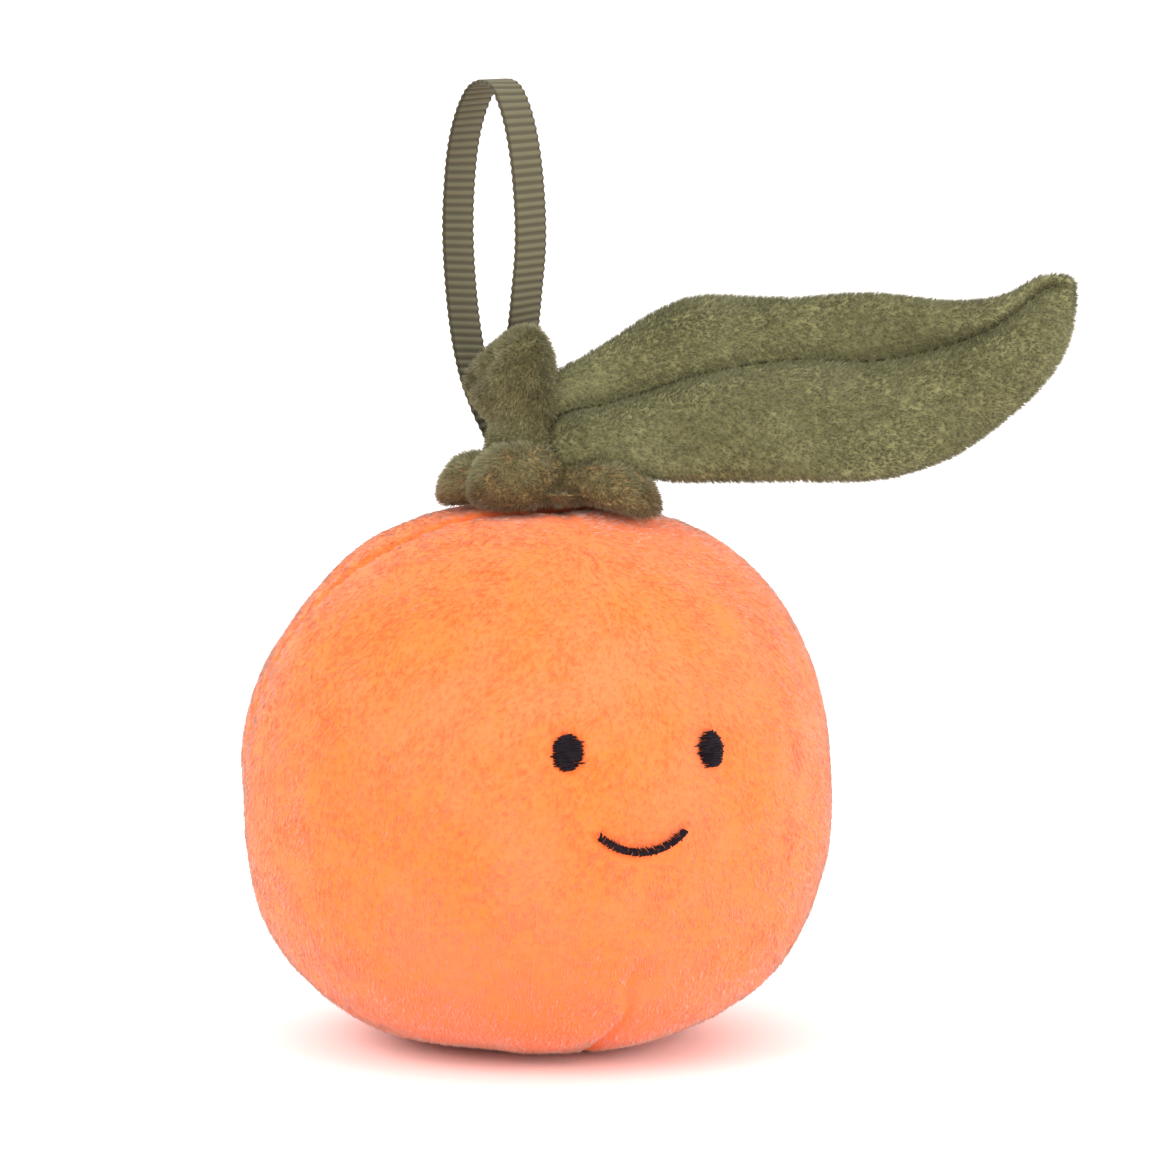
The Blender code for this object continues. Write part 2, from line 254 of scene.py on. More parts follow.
def layFlat(piece, places):
    # gives a piece its own map from one place per vertex
    corner = np.empty(len(piece.data.loops), np.int64)
    piece.data.loops.foreach_get("vertex_index", corner)
    layer = piece.data.uv_layers.new(name="OFBake")
    layer.uv.foreach_set("vector", places[corner].astype(np.float32).ravel())


def belong(pieces, replaced=()):
    # pieces ride the one body, and the nodes they replace are hidden
    for piece in pieces:
        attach(piece, "root")
    if replaced:
        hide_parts(*replaced)


def newMaterial(name, colour, roughness, sheen=0.0, sheenTint=(1, 1, 1)):
    material = bpy.data.materials.new(name)
    material.use_nodes = True
    shader = material.node_tree.nodes["Principled BSDF"]
    shader.inputs["Base Color"].default_value = (*colour, 1)
    shader.inputs["Roughness"].default_value = roughness
    shader.inputs["Specular IOR Level"].default_value = 0.2
    shader.inputs["Sheen Weight"].default_value = sheen
    shader.inputs["Sheen Roughness"].default_value = 0.45
    shader.inputs["Sheen Tint"].default_value = (*sheenTint, 1)
    return material, shader


def addNode(material, kind, **values):
    node = material.node_tree.nodes.new(kind)
    for key, value in values.items():
        if hasattr(node, key):
            setattr(node, key, value)
        else:
            node.inputs[key].default_value = value
    return node


def calculate(material, operation, *values):
    # one step of arithmetic on numbers or other nodes' results
    step = addNode(material, "ShaderNodeMath", operation=operation)
    for k, value in enumerate(values):
        if isinstance(value, bpy.types.NodeSocket):
            material.node_tree.links.new(value, step.inputs[k])
        else:
            step.inputs[k].default_value = value
    return step.outputs[0]


def colourRamp(material, source, stops):
    # blends between the stops' colours; each stop is a place from 0 to 1 and a colour
    ramp = addNode(material, "ShaderNodeValToRGB")
    ends = ramp.color_ramp.elements
    ends[0].position, ends[1].position = stops[0][0], stops[-1][0]
    ends[0].color, ends[1].color = (*stops[0][1], 1), (*stops[-1][1], 1)
    for place, colour in stops[1:-1]:
        ends.new(place).color = (*colour, 1)
    material.node_tree.links.new(source, ramp.inputs["Fac"])
    return ramp.outputs["Color"]


def product(material, first, second):
    # two colours multiplied together
    mix = addNode(material, "ShaderNodeMix", data_type="RGBA", blend_type="MULTIPLY")
    mix.inputs["Factor"].default_value = 1.0
    material.node_tree.links.new(first, mix.inputs["A"])
    material.node_tree.links.new(second, mix.inputs["B"])
    return mix.outputs["Result"]


def noise(material, size, detail, roughness):
    # noise fixed to the object, with lumps of about this size
    place = addNode(material, "ShaderNodeTexCoord")
    grain = addNode(material, "ShaderNodeTexNoise", Scale=1 / size, Detail=detail, Roughness=roughness)
    material.node_tree.links.new(place.outputs["Object"], grain.inputs["Vector"])
    return grain.outputs["Fac"]


def mottle(material, shader, colours, size, fineSize, fineShare=0.35, paintedLight=None):
    # colour drifts between the given ones over patches, with a finer fleck on top; the last argument
    # gives two heights between which painted light moves it from the last colour to the first
    link = material.node_tree.links.new
    both = addNode(material, "ShaderNodeMix", data_type="FLOAT")
    both.inputs["Factor"].default_value = fineShare
    link(noise(material, size, 2.0, 0.5), both.inputs["A"])
    link(noise(material, fineSize, 1.0, 0.5), both.inputs["B"])
    value = both.outputs["Result"]
    if paintedLight:
        # painted light: the colour moves with height, from the pale end at the first height to the deep end
        # at the second
        place = addNode(material, "ShaderNodeTexCoord")
        split = addNode(material, "ShaderNodeSeparateXYZ")
        paintedLightShift = addNode(material, "ShaderNodeMapRange", interpolation_type="SMOOTHSTEP")
        for name, number in zip(("From Min", "From Max", "To Min", "To Max"), (*paintedLight, 0.14, -0.17)):
            paintedLightShift.inputs[name].default_value = number
        link(place.outputs["Object"], split.inputs["Vector"])
        link(split.outputs["Z"], paintedLightShift.inputs["Value"])
        value = calculate(material, "ADD", value, paintedLightShift.outputs["Result"])
    # the noise seldom leaves the middle of its range, so the colours are spread over that
    places = np.linspace(0.36, 0.64, len(colours)).tolist()
    link(colourRamp(material, value, list(zip(places, colours))), shader.inputs["Base Color"])


def nap(material, shader, size, strength):
    # a fine bump like short pile seen from far off
    link = material.node_tree.links.new
    bump = addNode(material, "ShaderNodeBump", Strength=strength, Distance=0.0006)
    link(noise(material, size, 2.0, 0.6), bump.inputs["Height"])
    link(bump.outputs["Normal"], shader.inputs["Normal"])


def shadedRoots(material, shader, rootShade):
    # painted shade and light: a fibre is darker at its root, down in the pile where shade falls, than at its
    # lit tip, read from the pile's own measure along it
    along = addNode(material, "ShaderNodeAttribute", attribute_name="along")
    shade = colourRamp(material, along.outputs["Fac"], [(0.0, (rootShade,) * 3), (0.95, (1, 1, 1))])
    plain = shader.inputs["Base Color"].links[0].from_socket
    material.node_tree.links.new(product(material, plain, shade), shader.inputs["Base Color"])


def looks(look):
    # a plush's colours from the deepest to the palest
    return [look["deep"], look["plain"], look["pale"]]


# each plush has three colours, and may have painted light that moves it from the pale one to the deep one
# between two heights
orangeLook = {
    "deep": (0.94, 0.177, 0.032), "plain": (0.95, 0.190, 0.064), "pale": (0.96, 0.220, 0.104),
    # painted light: paler towards the base, which light from the floor and sides reaches, and deeper at the
    # crown
    "paintedLight": (0.012, 0.076),
}
leafLook = {"deep": (0.155, 0.147, 0.062), "plain": (0.240, 0.229, 0.103), "pale": (0.34, 0.326, 0.165)}
stemLook = {"deep": (0.130, 0.112, 0.045), "plain": (0.235, 0.209, 0.090), "pale": (0.42, 0.392, 0.190)}
calyxLook = {
    "deep": (0.225, 0.118, 0.045), "plain": (0.28, 0.215, 0.090), "pale": (0.38, 0.345, 0.165),
    # painted reflection: the calyx fibres turn the deep brownish orange of light thrown up from the orange
    # body below
    "paintedLight": (0.0845, 0.0775),
}

orangeSkin, shader = newMaterial("orangeSkin", orangeLook["plain"], 0.9, 0.3, (1.0, 0.70, 0.55))
mottle(orangeSkin, shader, looks(orangeLook)[:2], 0.014, 0.0012)
nap(orangeSkin, shader, 0.0009, 0.4)
orangePile, shader = newMaterial("orangePile", orangeLook["plain"], 0.75, 1.0, (1.0, 0.70, 0.58))
mottle(orangePile, shader, looks(orangeLook), 0.014, 0.0009, 0.55, orangeLook["paintedLight"])
shadedRoots(orangePile, shader, 0.93)


def greenPair(name, look):
    # the backing cloth and the fibres of one green part
    cloth, shader = newMaterial(name + "Cloth", look["plain"], 0.9, 0.2, (0.9, 0.9, 0.75))
    mottle(cloth, shader, looks(look)[:2], 0.008, 0.0010)
    nap(cloth, shader, 0.0009, 0.4)
    fibres, shader = newMaterial(name + "Fibres", look["plain"], 0.75, 0.3, (1.0, 0.96, 0.62))
    mottle(fibres, shader, looks(look), 0.011, 0.0005, 0.6, look.get("paintedLight"))
    shadedRoots(fibres, shader, 0.33)
    return cloth, fibres


leafCloth, leafFibres = greenPair("leaf", leafLook)
stemCloth, stemFibres = greenPair("stem", stemLook)
calyxCloth, calyxFibres = greenPair("calyx", calyxLook)
darkThread, shader = newMaterial("darkThread", (0.018, 0.011, 0.020), 0.6)
shader.inputs["Specular IOR Level"].default_value = 0.12
mottle(darkThread, shader, [(0.003, 0.001, 0.003), (0.012, 0.007, 0.011)], 0.0012, 0.0004)
oliveThread, shader = newMaterial("oliveThread", (0.07, 0.065, 0.028), 0.6)
mottle(oliveThread, shader, [(0.03, 0.026, 0.010), (0.07, 0.06, 0.025)], 0.003, 0.0006)
fibre, shader = newMaterial("fibre", (0.85, 0.84, 0.80), 0.9, 0.3)
mottle(fibre, shader, [(0.78, 0.77, 0.74), (0.90, 0.89, 0.86)], 0.004, 0.001)
nap(fibre, shader, 0.0015, 0.6)
print("materials made", flush=True)

lowFront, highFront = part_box("front_panel")
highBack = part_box("back_panel")[1]
body = {
    "half": (highFront[0] - lowFront[0]) / 2,
    "crown": highBack[2],
    "waist": 0.0378,  # height of the widest ring
    "drop": 0.0386,  # from there to where the belly would close
    "crownPower": 2.0,  # roundness above the waist and below it
    "bellyPower": 2.62,
    "pile": 0.0003,  # the cloth starts this far under the panels' surface
    "swell": 0.0006,
    "crownDip": 0.0009,  # the sewn-on calyx pulls the crown in
    "crownReach": 0.0115,
    "shoulder": (0.030, 0.004, 0.0665), "shoulderRise": 0.0019, "shoulderReach": 0.015,
    "seamCrown": -0.004,  # the panels' seam leans back from here at the crown
    "seamBase": 0.0235,
    "seamBow": 0.085,  # and bows backwards on its way up, most at this angle up its plane
    "seamBowPlace": 0.62, "seamBowReach": 0.47,
    "rows": 141, "columns": 256, "thick": 0.0005,
    "formRows": 43, "formColumns": 84,  # the coarse form that is swelled
}
seamLean = body["seamCrown"] - body["seamBase"]
bodyCentre = np.array([0.0, body["seamBase"] + seamLean * 0.48, body["waist"]])
seamUp = unit(np.array([0.0, seamLean, body["crown"]]))
seamFront = np.array([0.0, -seamUp[2], seamUp[1]])


def bodyHolds(points, inset):
    # true inside a superellipse of revolution, rounder above the widest ring than below it
    radius = np.linalg.norm(points[..., :2], axis=-1) / (body["half"] - inset)
    height = points[..., 2] - body["waist"]
    above = np.maximum(height, 0) / (body["crown"] - body["waist"] - inset)
    below = np.maximum(-height, 0) / (body["drop"] - inset)
    top = radius ** body["crownPower"] + above ** body["crownPower"] <= 1
    bottom = radius ** body["bellyPower"] + below ** body["bellyPower"] <= 1
    return np.where(height >= 0, top, bottom) & (points[..., 2] >= inset * 0.5)


def bodyRay(heading, inset):
    # the point of the body's surface from its centre along each heading, by halving
    low, high = np.zeros(heading.shape[:-1]), np.full(heading.shape[:-1], 0.08)
    for _ in range(34):
        middle = (low + high) / 2
        inside = bodyHolds(bodyCentre + heading * middle[..., None], inset)
        low, high = np.where(inside, middle, low), np.where(inside, high, middle)
    return bodyCentre + heading * low[..., None]


def seamBow(level):
    # how far the seam strays from its plane, as an angle, by the sine of the angle up that plane
    lean = np.arcsin(np.clip(level, -1, 1))
    return body["seamBow"] * np.exp(-(((lean - body["seamBowPlace"]) / body["seamBowReach"]) ** 2))


def bodyHeadings(rows, columns):
    # rings from the middle of the front panel to the middle of the back one; the seam is the middle
    # ring, and the rings stand closer together towards it
    step = np.linspace(-1, 1, rows + 2)[1:-1]
    angle = math.pi / 2 * (1 + np.sign(step) * (0.45 * np.abs(step) + 0.55 * np.abs(step) ** 2))
    turn = fullTurn(columns)
    bowed = angle[:, None] + seamBow(np.sin(turn))[None, :] * np.sin(angle)[:, None]
    flat = np.cos(turn)[:, None] * np.array([1.0, 0, 0]) + np.sin(turn)[:, None] * seamUp
    heading = np.cos(bowed)[..., None] * seamFront + np.sin(bowed)[..., None] * flat
    return heading, angle, turn


def seamGap(points):
    # signed distance from the seam, positive behind it
    ray = points - bodyCentre
    reach = np.linalg.norm(ray, axis=-1)
    angle = np.arccos(np.clip((ray @ seamFront) / reach, -1, 1))
    level = (ray @ seamUp) / np.maximum(reach * np.sin(angle), 1e-6)
    return reach * (angle - seamBow(level) * np.sin(angle) - math.pi / 2)


face = {
    "radius": 0.0415,  # of the skin around the face
    "eyeTurns": (-15.4, 14.4), "eyeHeights": (0.0477, 0.0470), "eyeWide": 0.0040, "eyeTall": 0.0047,
    "smileLow": 0.0337, "smileRadius": 0.0087, "smileReach": 45.0, "smileWide": 0.00110, "smileTurn": -1.3,
    "sunk": 0.00005,
}


def onSkin(turn, height, lift):
    # a point of the body by its bearing from the face's middle and its height, lifted off the skin
    def radiusAt(z):
        reach = body["crown"] - body["waist"]
        share = np.where(z > body["waist"], (z - body["waist"]) / reach, (body["waist"] - z) / body["drop"])
        power = np.where(z > body["waist"], body["crownPower"], body["bellyPower"])
        return body["half"] * (1 - share**power) ** (1 / power)

    slope = (radiusAt(height + 0.0002) - radiusAt(height - 0.0002)) / 0.0004
    long = np.sqrt(1 + slope**2)
    radius = radiusAt(height) + lift / long
    return np.stack([radius * np.sin(turn), -radius * np.cos(turn), height - lift * slope / long], -1)


def faceDistance(points):
    # distance outside the nearest piece of embroidery, negative inside it
    turn = np.arctan2(points[..., 0], -points[..., 1])
    flat = turn * face["radius"]
    height = points[..., 2]
    gaps = []
    for eyeTurn, eyeHeight in zip(face["eyeTurns"], face["eyeHeights"]):
        x = (flat - math.radians(eyeTurn) * face["radius"]) / (face["eyeWide"] / 2)
        z = (height - eyeHeight) / (face["eyeTall"] / 2)
        gaps.append((np.sqrt(x**2 + z**2) - 1) * face["eyeWide"] / 2)
    flat = flat - math.radians(face["smileTurn"]) * face["radius"]
    arc = np.arctan2(flat, face["smileLow"] + face["smileRadius"] - height)
    reach = math.radians(face["smileReach"])
    held = np.clip(arc, -reach, reach)
    x = flat - face["smileRadius"] * np.sin(held)
    z = height - face["smileLow"] - face["smileRadius"] * (1 - np.cos(held))
    gaps.append(np.sqrt(x**2 + z**2) - face["smileWide"] / 2)
    gap = np.minimum(np.minimum(gaps[0], gaps[1]), gaps[2])
    return np.where(points[..., 1] < 0, gap, 1.0)


relief = {
    # half width and depth of the line of stitches, and of the valley around it
    "stitch": (0.0009, 0.00115), "valley": (0.0042, 0.00040),
    "pucker": 0.00016, "puckerStep": 0.0036, "puckerReach": 0.0035, "puckerWander": 0.011,
    # the darts' half width, and their depths at the crown and the base
    "dart": (0.0009, 0.00030, 0.00055), "dartValley": (0.0045, 0.00030), "dartWander": 0.012,
    "dimple": (0.0008, 0.00040),
    "lumps": ((0.024, 0.00022, 7), (0.008, 0.00008, 8)),  # size, height and seed
}


def bell(distance, width):
    # a bell curve: 1 at no distance, and little left beyond twice the width
    return np.exp(-((distance / width) ** 2))


def bodyRelief(points, normals, along):
    # the stitched seam pulls the cloth in with small puckers, darts crease the front and back at
    # the crown and the base, the crown dips, and the embroidery sits in shallow dimples
    gap = seamGap(points)
    near = bell(gap, relief["stitch"][0])
    depth = relief["stitch"][1] * near + relief["valley"][1] * bell(gap, relief["valley"][0])
    wander = 1.6 * waves(points, relief["puckerWander"], 5)
    pucker = np.sin(along / relief["puckerStep"] * 2 * math.pi + wander)
    depth += relief["pucker"] * pucker * np.exp(-np.abs(gap) / relief["puckerReach"]) * (1 - near)
    x = points[..., 0] + 0.0006 * waves(points, relief["dartWander"], 6)
    crown = np.clip((points[..., 2] - 0.056) / 0.012, 0, 1)
    base = np.clip((0.018 - points[..., 2]) / 0.003, 0, 1)
    narrow, crownDart, baseDart = relief["dart"]
    depth += (crownDart * crown + baseDart * base) * bell(x, narrow)
    depth += relief["dartValley"][1] * (crown + base) * bell(x, relief["dartValley"][0])
    depth += relief["dimple"][1] * np.exp(-np.maximum(faceDistance(points), 0) / relief["dimple"][0])
    flat = np.linalg.norm(points[..., :2], axis=-1)
    depth += body["crownDip"] * bell(flat, body["crownReach"]) * (points[..., 2] > 0.05)
    shoulder = np.linalg.norm(points - toRow(*body["shoulder"]), axis=-1)
    depth -= body["shoulderRise"] * bell(shoulder, body["shoulderReach"])
    depth -= sum(high * waves(points, size, seed) for size, high, seed in relief["lumps"])
    return points - normals * depth[..., None]


def gridNormals(points, outward):
    # surface normals of a grid whose columns run round
    down = np.gradient(points, axis=0)
    around = np.roll(points, -1, axis=1) - np.roll(points, 1, axis=1)
    normals = unit(np.cross(around, down))
    flip = np.sign((normals * outward).sum(-1, keepdims=True))
    return normals * np.where(flip == 0, 1, flip)


def bodySwelling(fineAngle, fineTurn):
    # a coarse form swells with its seam and darts held, and its swelling is read off for the fine one
    rows, columns = body["formRows"], body["formColumns"]
    heading, angle, turn = bodyHeadings(rows, columns)
    points = bodyRay(heading, body["pile"])
    ends = bodyRay(np.array([seamFront, -seamFront]), body["pile"])
    coarse = closedPiece("bodyForm", points, None, ends)
    held = np.zeros((rows, columns))
    held[np.abs(angle - math.pi / 2) < 0.03] = 1.0
    held[points[..., 2] < 0.0012] = 1.0
    held[(np.abs(points[..., 0]) < 0.0015) & (np.abs(points[..., 2] - 0.037) > 0.026)] = 0.6
    inflate(coarse, held, (0.0, 0.0), 4.0, body["swell"], 16)
    swell = ((pointsOf(coarse.data)[1:-1].reshape(rows, columns, 3) - points) * heading).sum(-1)
    bpy.data.objects.remove(coarse)
    place = np.interp(fineAngle, angle, np.arange(rows))
    low = np.minimum(place.astype(int), rows - 2)
    share = (place - low)[:, None]
    swell = swell[low] * (1 - share) + swell[low + 1] * share
    turn = np.append(turn, 2 * math.pi)
    return np.stack([np.interp(fineTurn, turn, np.append(row, row[0])) for row in swell])


def buildBody():
    # two panels of cloth that meet in the seam, each a fine grid given a thickness
    rows, columns = body["rows"], body["columns"]
    heading, angle, turn = bodyHeadings(rows, columns)
    points = bodyRay(heading, body["pile"]) + heading * bodySwelling(angle, turn)[..., None]
    points = bodyRelief(points, gridNormals(points, heading), turn[None, :] * 0.041)
    points[..., 2] = np.maximum(points[..., 2], 0.0004)
    seam = rows // 2
    panels = []
    for name, rings in (("frontSkin", points[seam::-1]), ("backSkin", points[seam:])):
        quads = gridFaces(len(rings), columns)
        last = (len(rings) - 1) * columns
        j = np.arange(columns)
        cap = np.stack([last + j, last + (j + 1) % columns, np.full(columns, last + columns)], -1)
        whole = np.vstack([rings.reshape(-1, 3), rings[-1].mean(0)])
        panel = makePiece(name, whole, quads, cap, orangeSkin)
        wall = panel.modifiers.new("wall", "SOLIDIFY")
        wall.thickness = body["thick"]
        wall.offset = -1
        panels.append(panel)
    return panels


bodySkins = buildBody()
belong([bodySkins[0]], ["front_panel"])
belong([bodySkins[1]], ["back_panel"])
print("body skins made", flush=True)

bodyPileLook = {
    "count": 190000, "length": 0.00150, "width": 0.00010, "sink": 0.0002, "rise": 0.30, "droop": 0.06,
    "uneven": 0.06, "stray": 0.22, "swirl": 0.25, "swirlSize": 0.012, "patchSize": 0.007,
    "sparkle": 0.15, "glint": 0.24, "spread": 0.8, "dull": 0.35,
}


def buildBodyPile():
    # combed down and away from the middle of each panel, left out under the calyx, on the base and
    # in the embroidery, and parted along the seam
    roots, normals = scatter(bodySkins, bodyPileLook["count"], 11)
    flat = np.linalg.norm(roots[:, :2], axis=1)
    keep = (faceDistance(roots) > 0.00005) & (roots[:, 2] > 0.0011)
    keep &= ~((roots[:, 2] > 0.07) & (flat < 0.006)) & (np.abs(seamGap(roots)) > 0.00022)
    roots, normals = roots[keep], normals[keep]
    fan = bodyPileLook["spread"] * np.tanh(roots[:, 0] / 0.006)
    fan = fan * np.clip((roots[:, 2] - 0.015) / 0.035, 0.15, 1)
    comb = np.stack([fan, 0 * fan, -np.ones(len(fan))], -1)
    gap = seamGap(roots)
    comb += np.sign(gap)[:, None] * -seamFront * 1.2 * np.exp(-np.abs(gap) / 0.0008)[:, None]
    names = [f"bodyPile{k + 1}" for k in range(4)]
    return growPile(names, roots, normals, comb, bodyPileLook, orangePile, 21)


belong(buildBodyPile())

# the filling is carried over unchanged, with a look of loose fibre
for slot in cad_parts["body_filling"].material_slots:
    slot.material = fibre

calyx = {
    "centre": 0.0018, "lift": 0.0026, "rows": 30, "columns": 260, "spikes": 38000,
    "wrinkle": 0.00022, "wrinkleSize": 0.006,
    # each lobe: bearing, reach, half width, how far it rises above its middle, how far it drops below
    # it, and how much its end rears up; the last one is the web that joins them
    "lobes": [
        (-42.0, 0.0134, 0.0062, 0.0060, 0.0024, 0.0002), (60.0, 0.0172, 0.0056, 0.0040, 0.0010, 0.0008),
        (124.0, 0.0150, 0.0056, 0.0038, 0.0024, 0.0), (194.0, 0.0150, 0.0056, 0.0040, 0.0024, 0.0),
        (-92.0, 0.0154, 0.0050, 0.0040, 0.0026, 0.0), (0.0, 0.0100, 0.0100, 0.0002, 0.0022, 0.0),
    ],
}


def crownHeight(along, depth):
    # the body's top under the calyx, with its dip
    flat = np.hypot(along, depth)
    rise = body["crown"] - body["waist"]
    high = body["waist"] + rise * np.sqrt(1 - (flat / body["half"]) ** 2)
    return high - body["crownDip"] * bell(flat, body["crownReach"])


def calyxPoint(ring, turn, layer):
    # a five-lobed pillow laid over the crown. Each lobe is a capsule in plan; the outline is the
    # furthest of them at each bearing, the thickness the greatest of their rounded profiles.
    # ring runs from 0 at the middle to 1 at the outline, and layer is -1 below and 1 above.
    outline = 0
    for bearing, reach, half, *_ in calyx["lobes"]:
        gap = turn - math.radians(bearing)
        middle = reach - half
        straight = half / np.maximum(np.abs(np.sin(gap)), 1e-6)
        rounded = middle * np.cos(gap) + np.sqrt(np.maximum(half**2 - (middle * np.sin(gap)) ** 2, 0))
        far = np.where(straight * np.cos(gap) < middle, straight, rounded)
        outline = np.maximum(outline, np.where(np.cos(gap) > 0, far, half))
    across = ring * outline * np.sin(turn)
    depth = -ring * outline * np.cos(turn)
    puff, lift = 0, 0
    for bearing, reach, half, rise, drop, rear in calyx["lobes"]:
        ahead = np.array([math.sin(math.radians(bearing)), -math.cos(math.radians(bearing))])
        run = across * ahead[0] + depth * ahead[1]
        held = np.clip(run, 0, reach - half)
        gap = np.hypot(across - held * ahead[0], depth - held * ahead[1]) / half
        dome = np.clip(1 - gap**2.8, 0, 1) ** 0.5
        puff = np.maximum(puff, dome * (rise if layer > 0 else drop))
        lift = np.maximum(lift, rear * np.clip(run / reach, 0, 1) ** 2 * np.clip(1.15 - gap, 0, 1))
    along = calyx["centre"] + across
    middle = crownHeight(along, depth) + calyx["lift"] + lift
    points = toRow(along, depth, middle + layer * puff)
    wrinkle = calyx["wrinkle"] * waves(points, calyx["wrinkleSize"], 9) * np.clip(puff / 0.002, 0, 1)
    return points + (layer * wrinkle)[..., None] * up


def buildCalyx():
    rows, columns = calyx["rows"], calyx["columns"]
    turn = fullTurn(columns)
    ring = np.sin(np.linspace(0.05, math.pi / 2, rows))[:, None]
    top = calyxPoint(ring, turn[None, :], 1)
    bottom = calyxPoint(ring[-2::-1], turn[None, :], -1)
    rings = np.concatenate([top, bottom])
    piece = closedPiece("calyxPad", rings, calyxCloth)
    held = np.zeros((2 * rows - 1, columns))
    held[rows - 1 :] = 1.0
    held[:6] = 1.0
    inflate(piece, held, (1.0, 1.0), 3.0, 0.0005, 10)
    return piece


calyxPad = buildCalyx()
belong([calyxPad], ["calyx_upper", "calyx_lower"])

greenPileLook = {
    "length": 0.00135, "width": 0.0001, "sink": 0.0002, "rise": 1.3, "droop": 0.05, "uneven": 0.35,
    "stray": 0.5, "swirl": 0.7, "swirlSize": 0.003, "patchSize": 0.002, "sparkle": 0.25, "glint": 0.42,
    "dull": 0.15,
}
leafPileLook = {
    **greenPileLook, "length": 0.0011, "width": 0.00009, "stray": 0.35, "uneven": 0.25,
    "swirl": 0.3, "swirlSize": 0.009, "patchSize": 0.009, "glint": 0.36,
}


def buildCalyxPile():
    roots, normals = scatter([calyxPad], calyx["spikes"], 12)
    keep = roots[:, 2] > crownHeight(roots @ side, roots @ back) + 0.0007
    roots, normals = roots[keep], normals[keep]
    outward = roots - toRow(calyx["centre"], 0.0, 0.0)
    comb = outward * np.array([1, 1, 0]) - 0.004 * up
    return growPile(["calyxPile"], roots, normals, comb, greenPileLook, calyxFibres, 22)


belong(buildCalyxPile())
print("calyx made", flush=True)

stem = {
    # rings of the stem: sideways place and height of each middle, half width and tilt to the left
    "rings": [
        (-0.0010, 0.0800, 0.0060, 0.0), (-0.0010, 0.0838, 0.0056, 0.0), (-0.0013, 0.0868, 0.0052, 0.0),
        (-0.0016, 0.0893, 0.0048, 2.0), (-0.0024, 0.0914, 0.0054, 5.0), (-0.0031, 0.0934, 0.0060, 10.0),
        (-0.0036, 0.0953, 0.0062, 17.0), (-0.0040, 0.0968, 0.0064, 26.0), (-0.0044, 0.0983, 0.0062, 33.0),
        (-0.0049, 0.0993, 0.0053, 36.0), (-0.0054, 0.0999, 0.0028, 38.0),
    ],
    "deep": 0.98,  # depth over width
    # the sewn-up end shows as a crease from one place to another, sideways and up
    "crease": ((-0.0050, 0.0995), (-0.0096, 0.0943)), "creaseDepth": 0.0026, "creaseWidth": 0.0012,
    "wrinkle": 0.00022, "wrinkleSize": 0.006, "rows": 90, "columns": 84, "spikes": 24000,
}


def buildStem():
    # rings carried up a leaning line, closing in a dome that faces up and to the left
    rows, columns = stem["rows"], stem["columns"]
    knots = np.array(stem["rings"])
    knots[:, 3] = np.radians(knots[:, 3])
    route = smoothRoute(knots, rows)
    turn = fullTurn(columns)
    across, deep = np.cos(turn)[None, :], np.sin(turn)[None, :] * stem["deep"]
    centre, height, half, tilt = (route[:, k][:, None] for k in range(4))
    along = centre + half * across * np.cos(tilt)
    rise = height + half * across * np.sin(tilt)
    rings = toRow(along, half * deep, rise)
    facing = unit(np.stack(np.broadcast_arrays(across * np.cos(tilt), deep, across * np.sin(tilt)), -1))
    outward = toRow(facing[..., 0], facing[..., 1], facing[..., 2])
    (x0, z0), (x1, z1) = stem["crease"]
    dx, dz = x1 - x0, z1 - z0
    run = np.clip(((along - x0) * dx + (rise - z0) * dz) / (dx**2 + dz**2), 0, 1)
    gap = np.hypot(along - x0 - run * dx, rise - z0 - run * dz)
    groove = stem["creaseDepth"] * bell(gap, stem["creaseWidth"]) * (deep < 0.2)
    wrinkle = stem["wrinkle"] * waves(rings, stem["wrinkleSize"], 10)
    rings = rings + outward * (wrinkle - groove)[..., None]
    piece = closedPiece("stemPad", rings, stemCloth)
    held = np.zeros(rings.shape[:2])
    held[:6] = 1.0
    held[groove > 0.0004] = 1.0
    inflate(piece, held, (1.0, 0.8), 2.0, 0.0004, 10)
    return piece


stemPad = buildStem()
belong([stemPad], ["stem_cover", "stem_filling"])


def buildStemPile():
    roots, normals = scatter([stemPad], stem["spikes"], 13)
    comb = np.tile(-0.5 * up - 0.5 * side, (len(roots), 1))
    return growPile(["stemPile"], roots, normals, comb, greenPileLook, stemFibres, 23)


belong(buildStemPile())
print("stem made", flush=True)

leaf = {
    # distance along the leaf, then the heights of the lower edge, the vein and the upper edge
    "stations": [
        (0.0008, 0.0824, 0.0880, 0.0932), (0.0050, 0.0824, 0.0898, 0.0962), (0.0100, 0.0825, 0.0914, 0.0994),
        (0.0176, 0.0826, 0.0941, 0.1044), (0.0240, 0.0825, 0.0957, 0.1068), (0.0360, 0.0817, 0.0978, 0.1060),
        (0.0480, 0.0814, 0.0976, 0.1059), (0.0580, 0.0844, 0.0991, 0.1052), (0.0660, 0.0896, 0.1024, 0.1064),
        (0.0722, 0.0953, 0.1076, 0.1094), (0.0765, 0.1022, 0.1083, 0.1092),
    ],
    "lean": 25.0, "half": 0.0038, "rows": 120, "columns": 84, "spikes": 88000,
    "veinPinch": 0.42, "veinWide": 0.0012, "hollow": 0.44, "hollowWide": 0.0042,
    # waves of the blade: of its edges, of the whole, and slantwise; height, how fast and from where
    "edgeWave": (0.0011, 11.0, 1.2), "longWave": (0.0010, 7.0, 2.0), "slantWave": (0.0006, 19.0, 2.5),
}


